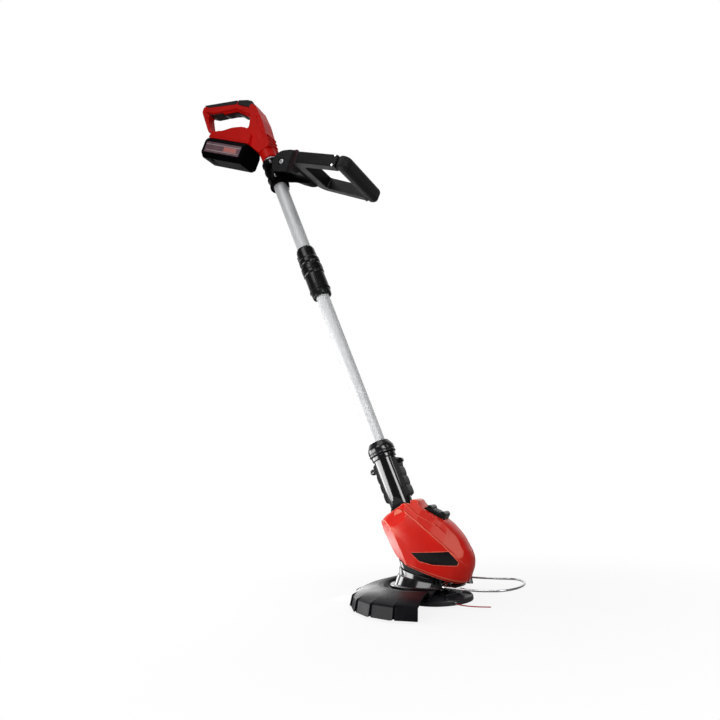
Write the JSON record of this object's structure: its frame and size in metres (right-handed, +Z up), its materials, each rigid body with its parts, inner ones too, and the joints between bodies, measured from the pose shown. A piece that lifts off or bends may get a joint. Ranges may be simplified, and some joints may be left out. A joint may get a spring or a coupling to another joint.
{
  "type": "cordless string trimmer",
  "caption": "Battery string trimmer with a telescopic pole, hinged motor head, rear grip, adjustable front handle, guard, spool and folding wire plant guard.",
  "frame": {"origin": "middle of the bump knob's flat underside, on the spool's axis", "axes": "+Z up along the spool's axis, +X forward away from the user, +Y to the user's left; the pole leans back towards -X"},
  "size_m": [0.591, 0.2784, 1.0647],
  "materials": {
    "red_plastic": "glossy moulded red",
    "black_plastic": "glossy moulded black",
    "soft_black_grip": "soft textured grip",
    "dark_grey_plastic": "satin moulded dark grey",
    "aluminium": "satin drawn tube",
    "steel": "bright steel",
    "motor_steel": "motor can with its windings",
    "cable_black": "satin cable jacket",
    "red_line": "red nylon line",
    "cell_wrap": "wrapped cells"
  },
  "bodies": {
    "upper": {"upper_tube": "aluminium", "telescope_collar": "black_plastic", "telescope_collet": "dark_grey_plastic", "handle_shell_right": "red_plastic", "handle_shell_left": "red_plastic", "grip_pad_rear": "soft_black_grip", "grip_pad_front": "soft_black_grip", "grip_liner": "soft_black_grip", "switch_body": "dark_grey_plastic", "terminal_block": "dark_grey_plastic", "upper_cable": "cable_black", "handle_screw_1": "steel", "handle_screw_2": "steel", "handle_screw_3": "steel", "handle_screw_4": "steel"},
    "trigger": {"trigger": "black_plastic"},
    "lock_off": {"lock_off_button": "black_plastic"},
    "battery": {"battery_case": "black_plastic", "battery_lid": "black_plastic", "battery_cells": "cell_wrap"},
    "battery_latch": {"battery_latch_button": "dark_grey_plastic"},
    "twist_nut": {"telescope_nut": "black_plastic"},
    "clamp": {"clamp_rear": "black_plastic", "clamp_front": "black_plastic", "clamp_bolt_1": "steel", "clamp_bolt_2": "steel", "clamp_bolt_3": "steel", "clamp_bolt_4": "steel", "pivot_bolt": "steel"},
    "front_handle": {"front_handle_frame": "black_plastic", "front_grip": "soft_black_grip", "handle_knob": "black_plastic"},
    "lower_pole": {"lower_tube": "aluminium", "pole_sleeve": "black_plastic", "sleeve_cap": "black_plastic", "lower_cable": "cable_black"},
    "head": {"housing_right": "red_plastic", "housing_left": "red_plastic", "badge_panel": "black_plastic", "motor": "motor_steel", "lower_cover": "black_plastic", "guard": "dark_grey_plastic", "line_cutter": "steel", "hinge_pin": "steel"},
    "tilt_catch": {"tilt_button": "black_plastic"},
    "plant_guard": {"plant_guard_wire": "steel"},
    "spool": {"drive_shaft": "steel", "spool_housing": "black_plastic", "spool_cover": "black_plastic", "line_eyelet": "steel", "spool_spring": "steel", "cutting_line": "red_line"},
    "bump_feed": {"bump_knob": "black_plastic", "spool_core": "dark_grey_plastic", "line_winding": "red_line"}
  },
  "joints": [
    {"name": "trigger_pull", "type": "hinge", "parent": "upper", "child": "trigger", "pos_m": [-0.396, 0, 1.03], "axis": [0, -1, 0], "range_deg": [0, 6], "stiffness_Nm_per_rad": 0.6, "springref_deg": -14.32},
    {"name": "lock_off_press", "type": "slide", "parent": "upper", "child": "lock_off", "axis": [-0.4695, 0, -0.8829], "range_m": [0, 0.003], "stiffness_N_per_m": 300, "springref_m": -0.003},
    {"name": "battery_slide", "type": "slide", "parent": "upper", "child": "battery", "axis": [-0.8838, 0, 0.4679], "range_m": [0, 0.13]},
    {"name": "battery_latch_press", "type": "slide", "parent": "battery", "child": "battery_latch", "axis": [0.4679, 0, 0.8838], "range_m": [0, 0.0018], "stiffness_N_per_m": 300, "springref_m": -0.003},
    {"name": "telescope_lock", "type": "hinge", "parent": "upper", "child": "twist_nut", "pos_m": [-0.047, 0, 0.1337], "axis": [-0.309, 0, 0.9511], "range_deg": [-60, 60]},
    {"name": "clamp_slide", "type": "slide", "parent": "upper", "child": "clamp", "axis": [-0.309, 0, 0.9511], "range_m": [-0.15, 0.006]},
    {"name": "front_handle_tilt", "type": "hinge", "parent": "clamp", "child": "front_handle", "pos_m": [-0.2431, 0, 0.83755], "axis": [0, 1, 0], "range_deg": [-40, 40]},
    {"name": "pole_slide", "type": "slide", "parent": "upper", "child": "lower_pole", "axis": [-0.309, 0, 0.9511], "range_m": [-0.05, 0.24]},
    {"name": "head_tilt", "type": "hinge", "parent": "lower_pole", "child": "head", "pos_m": [-0.047, 0, 0.1337], "axis": [0, 1, 0], "range_deg": [0, 45]},
    {"name": "tilt_catch_press", "type": "slide", "parent": "head", "child": "tilt_catch", "axis": [-0.4695, 0, -0.8829], "range_m": [0, 0.003], "stiffness_N_per_m": 400, "springref_m": -0.003},
    {"name": "plant_guard_fold", "type": "hinge", "parent": "head", "child": "plant_guard", "pos_m": [0.02, 0, 0.0295], "axis": [0, -1, 0], "range_deg": [0, 80]},
    {"name": "spool_spin", "type": "hinge", "parent": "head", "child": "spool", "pos_m": [0, 0, 0], "axis": [0, 0, -1], "continuous": true},
    {"name": "bump_press", "type": "slide", "parent": "spool", "child": "bump_feed", "axis": [0, 0, 1], "range_m": [0, 0.003], "stiffness_N_per_m": 400, "springref_m": -0.004, "deforming": ["spool_spring"]}
  ]
}
